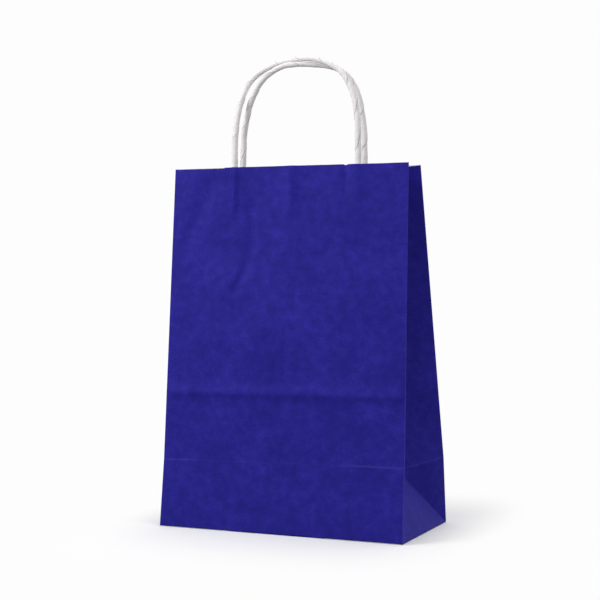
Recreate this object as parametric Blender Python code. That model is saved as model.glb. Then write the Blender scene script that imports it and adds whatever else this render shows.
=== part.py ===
"""Paper carrier bag with a block bottom, side gussets and two loops of twisted paper cord.

Metres, +Z up. The front panel faces -Y. The origin is the middle of the base, on the surface that the
bag stands on. The sheet is drawn by its own folding rules: every panel keeps its paper width and
height, and each gusset's centre fold lies half a gusset from both of the panels it joins.
"""

import math

import bmesh
import bpy
from mathutils import Matrix, Vector
from mathutils.geometry import interpolate_bezier

# The sheet.
PANEL_WIDTH = 0.220  # front and back panel, from side fold to side fold
BASE_DEPTH = 0.114  # block bottom, front to back, which is also the paper in one side gusset
SHEET_HEIGHT = 0.310  # paper from the bottom fold to the mouth
PAPER = 0.00017  # thickness of the kraft paper
GLUE_FLAP = 0.018  # lengthwise seam, at the left side fold of the back panel
BOTTOM_LAP = 0.020  # how far the two long bottom flaps overlap
FLAP_END = 0.002  # the open edge of the back bottom flap is glued shut this near its ends

# How the open bag stands.
MOUTH_GAP = 0.0304  # between the panels at the mouth
CREASE_TUCK = 0.0116  # how much nearer the panels stand at the crease ring than at the base
CREASE_SHIFT = 0.0040  # the crease ring's middle lies this far behind the base's
MOUTH_SHIFT_X = -0.0080  # the mouth leans this far to the left
MOUTH_SHIFT_Y = 0.0000  # and this far to the back
SIDE_LEAN_IN = 0.0016  # each side fold comes in this far between the base and the mouth
PANEL_BULGE = 0.0020  # the free middle of a large panel stands out by this

# The handles.
HANDLE_SPACING = 0.114  # between the two legs of a loop
HANDLE_RISE = 0.0915  # crown of the front cord above the mouth, on its centreline
REAR_DROP = 0.0045  # the rear crown lies this much lower, under the front one
FRONT_OFFSET = 0.0050  # middle of the front loop, right of its panel's middle
REAR_OFFSET = 0.0020  # middle of the rear loop, right of its panel's middle
CORD_DIAMETER = 0.0053
CROWN_DIAMETER = 0.0046  # the cord is drawn thinner over its crown
CORD_GRIP = 0.036  # cord inside the patch, below the mouth
PATCH_HEIGHT = 0.045
PATCH_MARGIN = 0.018  # patch beyond each leg's centre
PATCH_SETBACK = 0.001  # top of the patch below the mouth
GAP = 0.0003  # clearance between touching pieces

# How finely the faces are divided.
PANEL_COLUMNS = 10
SHEET_ROWS = 13
GUSSET_COLUMNS = 3
CORD_SIDES = 12
CORD_STEPS = 5  # divisions between two points of a cord's route

HALF_GUSSET = BASE_DEPTH / 2
CORD_RADIUS = CORD_DIAMETER / 2
CREASE_GAP = BASE_DEPTH - CREASE_TUCK
FRONT, BACK = -1, 1


def clear_scene():
    for thing in list(bpy.data.objects):
        bpy.data.objects.remove(thing, do_unlink=True)


def material(name, colour, roughness):
    """A plain Principled material with no metal in it."""
    made = bpy.data.materials.new(name)
    made.use_nodes = True
    shader = made.node_tree.nodes["Principled BSDF"]
    shader.inputs["Base Color"].default_value = (*colour, 1.0)
    shader.inputs["Roughness"].default_value = roughness
    shader.inputs["Metallic"].default_value = 0.0
    return made


def new_object(name, mesh, made_of=None):
    thing = bpy.data.objects.new(name, mesh)
    bpy.context.collection.objects.link(thing)
    if made_of:
        mesh.materials.clear()
        mesh.materials.append(made_of)
    return thing


def object_from_bmesh(name, bm, made_of=None):
    mesh = bpy.data.meshes.new(name)
    bm.to_mesh(mesh)
    bm.free()
    return new_object(name, mesh, made_of)


def bake(thing):
    """Puts the result of an object's modifiers into its own mesh."""
    graph = bpy.context.evaluated_depsgraph_get()
    mesh = bpy.data.meshes.new_from_object(thing.evaluated_get(graph))
    thing.modifiers.clear()
    thing.data = mesh


def boolean(thing, cutter, operation):
    """Adds a Boolean modifier, and keeps the cutter as a hidden guide."""
    cutter.hide_render = True
    cutter.display_type = "WIRE"
    step = thing.modifiers.new(cutter.name, "BOOLEAN")
    step.operation = operation
    step.object = cutter
    step.solver = "EXACT"


# Where the paper goes. A point of a large panel is named by its side, FRONT or BACK, by how far up the
# paper it lies, and by its share of the panel's width, 0 at the left fold and 1 at the right.


def panel_line(side, up):
    """Y and Z of a panel's straight side fold at a height measured along the paper."""
    at_base = side * BASE_DEPTH / 2
    at_crease = CREASE_SHIFT + side * CREASE_GAP / 2
    at_mouth = MOUTH_SHIFT_Y + side * MOUTH_GAP / 2
    crease_up = HALF_GUSSET
    crease_z = math.sqrt(crease_up**2 - (at_crease - at_base) ** 2)
    if up <= crease_up:
        share = up / crease_up
        return at_base + (at_crease - at_base) * share, crease_z * share
    upper = SHEET_HEIGHT - crease_up
    upper_z = math.sqrt(upper**2 - (at_mouth - at_crease) ** 2)
    share = (up - crease_up) / upper
    return at_crease + (at_mouth - at_crease) * share, crease_z + upper_z * share


def panel_lean(side):
    """Unit vector up a panel above its crease, and the one square to it that points into the bag."""
    low = Vector((0, *panel_line(side, HALF_GUSSET)))
    high = Vector((0, *panel_line(side, SHEET_HEIGHT)))
    upward = (high - low).normalized()
    return upward, side * Vector((1, 0, 0)).cross(upward)


def bulge(across, up):
    """How far the free middle of a panel stands out: nothing at its folds or beside the stiff patch."""
    low, high = HALF_GUSSET, SHEET_HEIGHT - PATCH_HEIGHT - PATCH_SETBACK
    if not low < up < high:
        return 0.0
    return PANEL_BULGE * math.sin(math.pi * across) * math.sin(math.pi * (up - low) / (high - low)) ** 2


def panel_point(side, across, up):
    y, z = panel_line(side, up)
    half = PANEL_WIDTH / 2 - SIDE_LEAN_IN * up / SHEET_HEIGHT
    x = (2 * across - 1) * half + MOUTH_SHIFT_X * up / SHEET_HEIGHT
    return Vector((x, y + side * bulge(across, up), z))


def on_panel(side, from_middle, below_mouth, inward):
    """A point placed from the middle of a panel's mouth edge: to the right, down the paper and inward."""
    upward, into_bag = panel_lean(side)
    return (
        panel_point(side, 0.5, SHEET_HEIGHT)
        + Vector((from_middle, 0, 0))
        - upward * below_mouth
        + into_bag * inward
    )


def meet_three(centres, radii, inner):
    """The point at three distances from three points, on the side of their plane nearer to inner."""
    first, second, third = centres
    ex = (second - first).normalized()
    along = ex.dot(third - first)
    ey = (third - first - ex * along).normalized()
    ez = ex.cross(ey)
    wide = (second - first).length
    high = ey.dot(third - first)
    x = (radii[0] ** 2 - radii[1] ** 2 + wide**2) / (2 * wide)
    y = (radii[0] ** 2 - radii[2] ** 2 + along**2 + high**2 - 2 * along * x) / (2 * high)
    z = math.sqrt(max(radii[0] ** 2 - x**2 - y**2, 0.0))
    found = [first + ex * x + ey * y + ez * turn * z for turn in (1, -1)]
    return min(found, key=lambda point: (point - inner).length)


def gusset_fold(across, heights):
    """The centre fold of one gusset, walked up from the tip of the tucked triangle.

    Each point lies half a gusset from both side folds, and one step of paper above the last point.
    """
    middle_of_bag = Vector((0, 0, HALF_GUSSET))
    foot = (panel_point(FRONT, across, 0) + panel_point(BACK, across, 0)) / 2
    folds = [[panel_point(side, across, up) for side in (FRONT, BACK)] for up in heights]
    points = [meet_three([*folds[0], foot], [HALF_GUSSET] * 3, middle_of_bag)]
    for step in range(1, len(heights)):
        rise = heights[step] - heights[step - 1]
        above = points[-1] + Vector((0, 0, rise))
        points.append(meet_three([*folds[step], points[-1]], [HALF_GUSSET, HALF_GUSSET, rise], above))
    return points


def sheet_walls(heights):
    """The four walls as one open skin, from the bottom folds to the mouth, with its faces pointing out."""
    bm = bmesh.new()
    shares = sorted({column / PANEL_COLUMNS for column in range(PANEL_COLUMNS + 1)} | {GLUE_FLAP / PANEL_WIDTH})
    left, right = gusset_fold(0.0, heights), gusset_fold(1.0, heights)
    rings = []
    for row, up in enumerate(heights):
        ring = [panel_point(FRONT, share, up) for share in shares]
        for fold, start, end in ((right, FRONT, BACK), (left, BACK, FRONT)):
            across = 1.0 if fold is right else 0.0
            for side, order in ((start, range(1, GUSSET_COLUMNS)), (end, range(GUSSET_COLUMNS, 0, -1))):
                edge = panel_point(side, across, up)
                ring += [edge.lerp(fold[row], step / GUSSET_COLUMNS) for step in order]
            if fold is right:
                ring += [panel_point(BACK, share, up) for share in reversed(shares)]
        rings.append([bm.verts.new(point) for point in ring])
    around = len(rings[0])
    for lower, upper in zip(rings, rings[1:]):
        for here in range(around):
            after = (here + 1) % around
            bm.faces.new((lower[here], lower[after], upper[after], upper[here]))
    add_foot(bm, rings[0], shares)
    return bm


def add_foot(bm, crease_ring, shares):
    """The walls below the crease ring: two plain panels, and the tucked triangle of each gusset."""
    wide, half = len(shares), 2 * GUSSET_COLUMNS - 1
    first_back = wide + half
    foot_up = PAPER / 2
    front = [bm.verts.new(panel_point(FRONT, share, foot_up)) for share in (0, 1)]
    bm.faces.new((*front, *reversed(crease_ring[:wide])))
    flap_share = GLUE_FLAP / PANEL_WIDTH
    back = [bm.verts.new(panel_point(BACK, share, foot_up)) for share in (1, flap_share, 0)]
    flap_at = first_back + wide - 1 - shares.index(flap_share)
    bm.faces.new((*back[:2], *reversed(crease_ring[first_back : flap_at + 1])))
    bm.faces.new((*back[1:], *reversed(crease_ring[flap_at : first_back + wide])))
    right = crease_ring[wide - 1 : first_back + 1]
    left = crease_ring[first_back + wide - 1 :] + crease_ring[:1]
    for near, far, crease in ((front[-1], back[0], right), (back[-1], front[0], left)):
        tip = GUSSET_COLUMNS
        for here in range(tip):
            bm.faces.new((near, crease[here + 1], crease[here]))
        for here in range(tip, 2 * tip):
            bm.faces.new((far, crease[here + 1], crease[here]))
        bm.faces.new((near, far, crease[tip]))


def raise_glue_flap(thing):
    """The seam: a flap of the left gusset's paper lies glued on the back panel, one paper proud."""
    bm = bmesh.new()
    bm.from_mesh(thing.data)
    flap_end = panel_point(BACK, GLUE_FLAP / PANEL_WIDTH, 0).x
    flap = []
    for face in bm.faces:
        middle = face.calc_center_median()
        if face.normal.y > 0.9 and middle.y > 0 and middle.x < flap_end:
            flap.append(face)
    raised = bmesh.ops.extrude_face_region(bm, geom=flap)
    lifted = [item for item in raised["geom"] if isinstance(item, bmesh.types.BMVert)]
    _, into_bag = panel_lean(BACK)
    bmesh.ops.translate(bm, verts=lifted, vec=-into_bag * PAPER)
    bmesh.ops.delete(bm, geom=flap, context="FACES")
    bm.to_mesh(thing.data)
    bm.free()


# The block bottom, seen as flat layers of paper that are glued to each other.


def prism(bm, outline, low, high, top_outline=None):
    """Adds a prism over a flat outline that runs counter-clockwise seen from above."""
    base = [bm.verts.new((x, y, low)) for x, y in outline]
    top = [bm.verts.new((x, y, high)) for x, y in top_outline or outline]
    bm.faces.new(reversed(base))
    bm.faces.new(top)
    for here in range(len(outline)):
        after = (here + 1) % len(outline)
        bm.faces.new((base[here], base[after], top[after], top[here]))


def box_outline(x_low, x_high, y_low, y_high):
    return [(x_low, y_low), (x_high, y_low), (x_high, y_high), (x_low, y_high)]


def base_outline(height, inset):
    """Outline of the leaning walls at a height just above the base, moved in from their outside."""
    tip = gusset_fold(1.0, [HALF_GUSSET])[0]
    x = PANEL_WIDTH / 2 - height * (PANEL_WIDTH / 2 - tip.x) / tip.z - inset
    front, back = panel_line(FRONT, height)[0], panel_line(BACK, height)[0]
    return box_outline(-x, x, front + inset, back - inset)


def bottom_plate():
    """Three layers of paper over the whole base: a long flap, a folded corner and a side flap.

    The plate's sides run up inside the thickness of the walls, which it is one piece with.
    """
    bm = bmesh.new()
    top = 3 * PAPER
    prism(bm, base_outline(0, PAPER / 2), 0, top, base_outline(top, PAPER / 2))
    return object_from_bmesh("bottom_plate", bm)


def side_triangles():
    """Cuts the side flaps free below, between the 45 degree folds of the two long flaps."""
    bm = bmesh.new()
    clear = 2 * PAPER
    corner = 3 * PAPER  # the cut stays this far from the corners, where the fold is closed
    for side in (-1, 1):
        edge = side * (PANEL_WIDTH / 2 + clear)
        tip = side * (PANEL_WIDTH / 2 - BASE_DEPTH / 2 + corner)
        reach = BASE_DEPTH / 2 + clear - corner
        triangle = [(edge, -reach), (edge, reach), (tip, 0)]
        prism(bm, triangle[::side], -clear, 2 * PAPER)
    return object_from_bmesh("side_triangles", bm)


def flap_edge():
    """Cuts a groove along the edge of the back flap, where it ends on the front one."""
    bm = bmesh.new()
    lap = BOTTOM_LAP / 2
    groove = 2 * PAPER
    corner = PANEL_WIDTH / 2 - BASE_DEPTH / 2 - lap
    turn = groove * math.tan(math.pi / 8)
    aside = groove * math.sqrt(0.5)
    run = lap - FLAP_END
    end_x, end_y = corner + run, run - lap
    right = [(corner + turn, -lap - groove), (end_x + aside, end_y - aside), (end_x, end_y), (corner, -lap)]
    left = [(-x, y) for x, y in reversed(right)]
    prism(bm, right + left, -2 * PAPER, PAPER)
    return object_from_bmesh("flap_edge", bm)


def inside_steps():
    """Clears the inside down to the long flaps, one paper thick, or two where they overlap."""
    end = PANEL_WIDTH / 2 - BASE_DEPTH / 2 - BOTTOM_LAP / 2  # where the side flaps end
    wall = BASE_DEPTH / 2 - 3 * PAPER  # a bead of glue stays beside the panels
    lap = BOTTOM_LAP / 2
    front_lap = lap + 4 * PAPER
    top = 5 * PAPER
    profile = [
        (-wall, PAPER),
        (-front_lap, PAPER),
        (-front_lap, 2 * PAPER),
        (lap, 2 * PAPER),
        (lap, PAPER),
        (wall, PAPER),
        (wall, top),
        (-wall, top),
    ]
    bm = bmesh.new()
    prism(bm, profile, -end, end)
    along_x = Matrix(((0, 0, 1, 0), (1, 0, 0, 0), (0, 1, 0, 0), (0, 0, 0, 1)))
    bmesh.ops.transform(bm, matrix=along_x, verts=bm.verts)
    return object_from_bmesh("inside_steps", bm)


def build_sheet(paper):
    """The whole bag: folded walls with the paper's thickness, the seam and the glued bottom."""
    upper = SHEET_HEIGHT - HALF_GUSSET
    heights = [HALF_GUSSET + upper * row / SHEET_ROWS for row in range(SHEET_ROWS + 1)]
    bag = object_from_bmesh("bag_body", sheet_walls(heights), paper)
    skin = bag.modifiers.new("paper thickness", "SOLIDIFY")
    skin.thickness = PAPER
    skin.offset = -1
    skin.use_even_offset = True
    skin.use_quality_normals = True
    skin.use_rim = True
    bake(bag)
    raise_glue_flap(bag)
    boolean(bag, bottom_plate(), "UNION")
    for cutter in (side_triangles(), flap_edge(), inside_steps()):
        boolean(bag, cutter, "DIFFERENCE")
    return bag


# The handles. A patch is pressed round both legs of its cord.

CHANNEL = CORD_RADIUS + GAP
LEG_INWARD = PAPER + GAP + PAPER + CHANNEL  # centre of a leg, from the outside of its panel
SWELL = 2 * (PAPER + CHANNEL)  # thickness of the patch over a leg


def leg_places(offset):
    return [offset - HANDLE_SPACING / 2, offset + HANDLE_SPACING / 2]


def patch_thickness(across, below, legs):
    """Two glued leaves, which swell over each leg and close again below the cord's end."""
    flat = 2 * PAPER
    width = 2.0 * CHANNEL
    close_from = CORD_GRIP + 2 * GAP - PATCH_SETBACK
    close_to = PATCH_HEIGHT - GAP
    fade = 1.0
    if below > close_from:
        share = min((below - close_from) / (close_to - close_from), 1.0)
        fade = 0.5 + 0.5 * math.cos(math.pi * share)
    swell = sum(math.exp(-(((across - leg) / width) ** 4)) for leg in legs)
    return flat + (SWELL - flat) * swell * fade


def build_patch(name, side, offset, paper):
    bm = bmesh.new()
    legs = leg_places(offset)
    span = 3.2 * CHANNEL
    columns = {legs[0] - PATCH_MARGIN, legs[1] + PATCH_MARGIN}
    for leg in legs:
        columns |= {leg + span * step / 9 for step in range(-9, 10)}
    columns = sorted(columns)
    straight = CORD_GRIP + 2 * GAP - PATCH_SETBACK
    rows = [straight * step / 4 for step in range(5)]
    rows += [straight + (PATCH_HEIGHT - straight) * step / 5 for step in range(1, 6)]
    against = PAPER + GAP
    faces = {}
    for layer in ("wall", "bag"):
        faces[layer] = []
        for below in rows:
            line = []
            for across in columns:
                rise = patch_thickness(across, below, legs) if layer == "bag" else 0.0
                line.append(bm.verts.new(on_panel(side, across, below + PATCH_SETBACK, against + rise)))
            faces[layer].append(line)
        grid = faces[layer]
        for upper, lower in zip(grid, grid[1:]):
            for here in range(len(columns) - 1):
                bm.faces.new((upper[here], upper[here + 1], lower[here + 1], lower[here]))
    rims = []
    for grid in (faces["wall"], faces["bag"]):
        rims.append(grid[0] + [line[-1] for line in grid[1:-1]] + grid[-1][::-1] + [line[0] for line in grid[-2:0:-1]])
    for here in range(len(rims[0])):
        after = (here + 1) % len(rims[0])
        bm.faces.new((rims[0][here], rims[0][after], rims[1][after], rims[1][here]))
    bmesh.ops.recalc_face_normals(bm, faces=bm.faces)
    patch = object_from_bmesh(name, bm, paper)
    for number, leg in enumerate(legs):
        boolean(patch, leg_channel(f"{name}_channel_{number}", side, leg), "DIFFERENCE")
    return patch


def leg_channel(name, side, leg):
    """The round way that a leg lies in, open at the top of the patch."""
    bottom = on_panel(side, leg, CORD_GRIP + GAP, LEG_INWARD)
    top = on_panel(side, leg, -2 * PATCH_SETBACK, LEG_INWARD)
    bm = bmesh.new()
    bmesh.ops.create_cone(
        bm,
        cap_ends=True,
        segments=24,
        radius1=CHANNEL,
        radius2=CHANNEL,
        depth=(top - bottom).length,
    )
    turn = (top - bottom).to_track_quat("Z", "Y").to_matrix().to_4x4()
    bmesh.ops.transform(bm, matrix=Matrix.Translation((top + bottom) / 2) @ turn, verts=bm.verts)
    return object_from_bmesh(name, bm)


# The way of each cord above the mouth. Across counts half spacings from the middle of the loop, over
# counts shares of the way from the cord's own panel to the other cord, and up counts shares of the rise.
# The front cord passes behind the rear one at the left shoulder, over it at the crown, and in front
# of it at the right shoulder.

FRONT_ROUTE = [
    (-1.01, 0.10, 0.30),
    (-1.00, 0.26, 0.50),
    (-0.965, 0.42, 0.65),
    (-0.90, 0.62, 0.79),
    (-0.77, 0.71, 0.88),
    (-0.56, 0.74, 0.945),
    (-0.30, 0.69, 0.985),
    (0.05, 0.50, 1.00),
    (0.30, 0.35, 0.975),
    (0.50, 0.28, 0.93),
    (0.68, 0.24, 0.865),
    (0.81, 0.19, 0.77),
    (0.90, 0.13, 0.65),
    (0.965, 0.06, 0.50),
    (0.995, 0.01, 0.33),
]
REAR_ROUTE = [
    (-0.98, 0.05, 0.28),
    (-0.92, 0.18, 0.47),
    (-0.80, 0.36, 0.655),
    (-0.66, 0.48, 0.80),
    (-0.49, 0.60, 0.90),
    (-0.26, 0.65, 0.975),
    (-0.03, 0.57, 1.00),
    (0.20, 0.44, 0.995),
    (0.42, 0.33, 0.98),
    (0.60, 0.26, 0.95),
    (0.74, 0.22, 0.89),
    (0.85, 0.16, 0.80),
    (0.92, 0.11, 0.68),
    (0.965, 0.05, 0.52),
    (0.995, 0.01, 0.33),
]


def smooth_line(points, steps):
    """A smooth curve through the points, as a chain of Bezier pieces with Catmull-Rom handles."""
    ends = [2 * points[0] - points[1], *points, 2 * points[-1] - points[-2]]
    line = [points[0]]
    for before, start, end, after in zip(ends, ends[1:], ends[2:], ends[3:]):
        handle_1 = start + (end - before) / 6
        handle_2 = end - (after - start) / 6
        line += interpolate_bezier(start, handle_1, handle_2, end, steps + 1)[1:]
    return line


def cord_line(side, offset, rise, route):
    """Centreline of a cord: up one leg, over the crown and down the other."""
    line = [on_panel(side, offset - HANDLE_SPACING / 2, CORD_GRIP * share, LEG_INWARD) for share in (1, 0.5, 0)]
    middle = on_panel(side, offset, 0, LEG_INWARD)
    across_bag = on_panel(-side, 0, 0, LEG_INWARD).y - middle.y
    for across, over, up in route:
        line.append(middle + Vector((across * HANDLE_SPACING / 2, over * across_bag, up * rise)))
    line += [on_panel(side, offset + HANDLE_SPACING / 2, CORD_GRIP * share, LEG_INWARD) for share in (0, 0.5, 1)]
    return line


def build_cord(name, side, offset, rise, route, twisted_paper):
    points = smooth_line(cord_line(side, offset, rise, route), CORD_STEPS)
    crown = max(point.z for point in points)
    mouth = panel_point(side, 0.5, SHEET_HEIGHT).z
    curve = bpy.data.curves.new(name, "CURVE")
    curve.dimensions = "3D"
    curve.bevel_depth = CORD_RADIUS
    curve.bevel_resolution = CORD_SIDES // 4 - 1
    curve.use_fill_caps = True
    spline = curve.splines.new("POLY")
    spline.points.add(len(points) - 1)
    for place, point in zip(spline.points, points):
        place.co = (*point, 1)
        height = min(max((point.z - mouth) / (crown - mouth), 0.0), 1.0)
        place.radius = 1 - (1 - CROWN_DIAMETER / CORD_DIAMETER) * height**4
    curve.materials.append(twisted_paper)
    cord = bpy.data.objects.new(name, curve)
    bpy.context.collection.objects.link(cord)
    return cord


def main():
    clear_scene()
    blue_kraft = material("dyed kraft paper", (0.026, 0.021, 0.242), 0.62)
    white_kraft = material("white kraft patch paper", (0.72, 0.71, 0.69), 0.75)
    twisted = material("twisted white paper cord", (0.78, 0.76, 0.76), 0.7)
    build_sheet(blue_kraft)
    build_patch("front_handle_patch", FRONT, FRONT_OFFSET, white_kraft)
    build_patch("rear_handle_patch", BACK, REAR_OFFSET, white_kraft)
    build_cord("front_handle", FRONT, FRONT_OFFSET, HANDLE_RISE, FRONT_ROUTE, twisted)
    build_cord("rear_handle", BACK, REAR_OFFSET, HANDLE_RISE - REAR_DROP, REAR_ROUTE, twisted)


main()
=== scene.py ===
# %% [markdown]
# # A paper carrier bag
# The real bag is one sheet of coloured kraft paper. A machine folds and glues it into a flat tube with two
# side gussets, closes one end with a block bottom, and glues a paper patch with a twisted paper cord inside
# each side of the mouth. This lesson draws the sheet by the same folding rules, so every crease is where
# the paper would have it, and then gives it the small uneven bends that make a sheet look like paper.

import math

import bpy
import numpy as np
from mathutils import Matrix, Vector, noise
from mathutils.geometry import interpolate_bezier


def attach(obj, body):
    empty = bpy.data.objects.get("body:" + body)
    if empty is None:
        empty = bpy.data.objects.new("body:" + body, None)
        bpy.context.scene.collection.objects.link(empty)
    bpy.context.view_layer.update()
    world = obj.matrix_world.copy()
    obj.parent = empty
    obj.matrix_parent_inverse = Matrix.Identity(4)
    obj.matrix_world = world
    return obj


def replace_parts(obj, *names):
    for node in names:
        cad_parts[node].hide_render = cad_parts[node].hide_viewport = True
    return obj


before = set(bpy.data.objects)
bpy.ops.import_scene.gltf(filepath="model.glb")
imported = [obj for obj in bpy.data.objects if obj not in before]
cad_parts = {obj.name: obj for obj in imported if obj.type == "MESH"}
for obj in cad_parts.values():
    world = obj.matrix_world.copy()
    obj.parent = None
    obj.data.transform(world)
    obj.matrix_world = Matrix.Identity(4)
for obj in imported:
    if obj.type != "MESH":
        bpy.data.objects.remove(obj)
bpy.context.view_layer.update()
print("solids in the frame:", sorted(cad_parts))

# %% [markdown]
# ## Colours, nodes and objects
# Colours are written as sRGB hex, the way a colour picker shows them. Blender's shaders work in linear
# light, so one function converts them. A second small function adds a node to a tree with its settings and
# its links, for materials and for Geometry Nodes alike, which keeps each tree short enough to read.

# %% Helpers for colours, nodes and objects
MM = 0.001


def srgb(code):
    """Linear RGBA from an sRGB hex code."""
    parts = [int(code[place : place + 2], 16) / 255 for place in (1, 3, 5)]
    linear = [part / 12.92 if part <= 0.04045 else ((part + 0.055) / 1.055) ** 2.4 for part in parts]
    return (*linear, 1.0)


def feed(tree, node, inputs):
    """Sets inputs to values, or links them from sockets; a node stands for its first output."""
    for name, value in dict(inputs).items():
        if isinstance(value, bpy.types.Node):
            value = value.outputs[0]
        if isinstance(value, bpy.types.NodeSocket):
            tree.links.new(value, node.inputs[name])
        else:
            node.inputs[name].default_value = value


def add_node(tree, kind, settings=(), inputs=()):
    """Adds a node; settings are its own properties, and inputs are what it is fed."""
    node = tree.nodes.new(kind)
    for name, value in dict(settings).items():
        setattr(node, name, value)
    feed(tree, node, inputs)
    return node


def colour_steps(node, stops):
    """Fills a colour ramp with (place, hex) stops."""
    ramp = node.color_ramp
    while len(ramp.elements) < len(stops):
        ramp.elements.new(0.5)
    for element, (place, code) in zip(ramp.elements, stops):
        element.position = place
        element.color = srgb(code)


def start_material(name, **shader_values):
    """A new material, with its tree and its Principled shader to build on."""
    made = bpy.data.materials.new(name)
    made.use_nodes = True
    tree = made.node_tree
    tree.nodes.clear()
    shader = add_node(tree, "ShaderNodeBsdfPrincipled", inputs=shader_values)
    add_node(tree, "ShaderNodeOutputMaterial", inputs={"Surface": shader})
    return made, tree, shader


def new_object(name, data):
    """An object that holds the data, in the scene."""
    made = bpy.data.objects.new(name, data)
    bpy.context.scene.collection.objects.link(made)
    return made


print("white paper #F4F2EE in linear light:", [round(part, 3) for part in srgb("#F4F2EE")])

# %% [markdown]
# ## Dyed kraft paper
# The bag is machine-glazed kraft paper of about 120 grams per square metre, printed all over in a deep
# blue. Its ink lies unevenly on the fibres, so the eye sees soft clouds, some 8 mm across and some 40 mm,
# finer specks of under 2 mm, and faint level streaks. The sheet has its own flat coordinates as a UV map,
# in metres, so the clouds and streaks run over a fold as ink does. Along the folds and the crease a thin
# lighter line is painted, partly cracked ink and partly a painted highlight, and the tucked triangle is
# painted lighter as a painted highlight: the sheet carries an attribute named wear_and_highlight for it.

# %% The printed outside of the sheet
CLOUD = 8 * MM
SPECK = 1.6 * MM
STREAK = 1.1 * MM
STREAK_SHAPE = (0.12, 1.0, 1.0)  # a streak is some eight times as long as it is wide

blue_kraft, tree, shader = start_material(
    "printed machine-glazed kraft paper", **{"Roughness": 0.6, "IOR": 1.45, "Specular IOR Level": 0.07}
)
flat = add_node(tree, "ShaderNodeUVMap", {"uv_map": "paper"})
stretched = add_node(tree, "ShaderNodeMapping", inputs={"Vector": flat, "Scale": STREAK_SHAPE})
patterns = {}
for name, size, vector, detail in (
    ("wide", 5 * CLOUD, flat, 2.0),
    ("clouds", CLOUD, flat, 2.0),
    ("specks", SPECK, flat, 3.0),
    ("streaks", STREAK, stretched, 2.0),
):
    grain = {"Vector": vector, "Scale": 1 / size, "Detail": detail, "Roughness": 0.6}
    patterns[name] = add_node(tree, "ShaderNodeTexNoise", inputs=grain)
mottle = patterns["clouds"]
for name, weight in (("wide", 0.75), ("specks", 0.8), ("streaks", 0.25)):
    added = {0: patterns[name], 1: weight, 2: mottle}
    mottle = add_node(tree, "ShaderNodeMath", {"operation": "MULTIPLY_ADD"}, added)
ink = add_node(tree, "ShaderNodeMapRange", inputs={"Value": mottle, "From Min": 0.79, "From Max": 2.01})
ink_colour = add_node(tree, "ShaderNodeValToRGB", inputs={"Fac": ink})
colour_steps(ink_colour, [(0.0, "#1B1872"), (0.5, "#262289"), (1.0, "#342FA4")])
# painted highlight and worn ink: a lighter blue along the folds and the crease, and a painted highlight on
# the tucked triangle
wear_and_highlight = add_node(tree, "ShaderNodeAttribute", {"attribute_name": "wear_and_highlight"})
shares = {0: wear_and_highlight.outputs["Fac"], 1: patterns["streaks"]}
wear_and_highlight_share = add_node(tree, "ShaderNodeMath", {"operation": "MULTIPLY"}, shares)
# the ink's colour with the painted highlight and worn ink mixed in
printed = add_node(
    tree, "ShaderNodeMix", {"data_type": "RGBA"}, {"Factor": wear_and_highlight_share, 6: ink_colour, 7: srgb("#5A56C0")}
)
fibre_heights = {0: patterns["clouds"], 1: 2.0, 2: patterns["specks"]}
fibre_height = add_node(tree, "ShaderNodeMath", {"operation": "MULTIPLY_ADD"}, fibre_heights)
fibre_bump = {"Strength": 0.35, "Distance": 0.25 * MM, "Height": fibre_height}
fibres = add_node(tree, "ShaderNodeBump", inputs=fibre_bump)
feed(tree, shader, {"Base Color": printed.outputs[2], "Normal": fibres})
print("outside of the sheet:", blue_kraft.name)

# %% [markdown]
# ## White kraft paper
# The inside of such a sheet is not printed. It shows the bleached kraft itself: warm white, quite matt,
# with short fibres and a faint cloudy look where the web is thicker. The same paper makes the patches.

# %% The bare inside of the sheet
WEB_CLOUD = 9 * MM
FIBRE = 0.8 * MM

white_kraft, tree, shader = start_material(
    "bleached kraft paper", **{"Roughness": 0.8, "IOR": 1.45, "Specular IOR Level": 0.25}
)
flat = add_node(tree, "ShaderNodeTexCoord").outputs["Object"]
cloudy = {"Vector": flat, "Scale": 1 / WEB_CLOUD, "Detail": 4.0, "Roughness": 0.6}
clouds = add_node(tree, "ShaderNodeTexNoise", inputs=cloudy)
white_colour = add_node(tree, "ShaderNodeValToRGB", inputs={"Fac": clouds})
colour_steps(white_colour, [(0.30, "#DAD6CF"), (0.70, "#EAE7E1")])
felt = add_node(tree, "ShaderNodeTexNoise", inputs={"Vector": flat, "Scale": 1 / FIBRE, "Detail": 3.0})
felt_bump = add_node(tree, "ShaderNodeBump", inputs={"Strength": 0.3, "Distance": 0.1 * MM, "Height": felt})
feed(tree, shader, {"Base Color": white_colour, "Normal": felt_bump})
print("inside of the sheet:", white_kraft.name)

# %% [markdown]
# ## Folding rules
# Five facts fix the shape of the open bag: the width of a panel, the depth of the base, the height of the
# paper, how far apart the panels stand at the mouth, and that paper doesn't stretch. The last one places
# each gusset's centre fold: it lies exactly half a gusset from both of its side folds. Where three
# distances to a point are known, the point is the meeting of three spheres, so the fold is found by
# walking up the bag with that one small calculation.

# %% Sizes of the sheet
PANEL_WIDTH = 220 * MM
BASE_DEPTH = 114 * MM
SHEET_HEIGHT = 310 * MM
HALF_GUSSET = BASE_DEPTH / 2
PAPER = 0.17 * MM
MOUTH_GAP = 30.4 * MM  # between the two panels at the mouth
CREASE_TUCK = 11.6 * MM  # the bag is this much shallower at the crease ring than at the base
CREASE_SHIFT = 4 * MM  # and the ring lies this far to the back
MOUTH_SHIFT_X = -8 * MM  # the bag leans to the left by this at the mouth
SIDE_LEAN_IN = 1.6 * MM  # and each side fold leans in by this
CREASE_SKEW = 4.0 * MM  # the machine's crease rises to the right by this on the front panel
FRONT, BACK = -1, 1


def crease_height(side, across):
    """Paper height of the crease ring: level on the back panel, a little askew on the front one."""
    skew = CREASE_SKEW if side == FRONT else 0.0
    return HALF_GUSSET + skew * across


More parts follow.
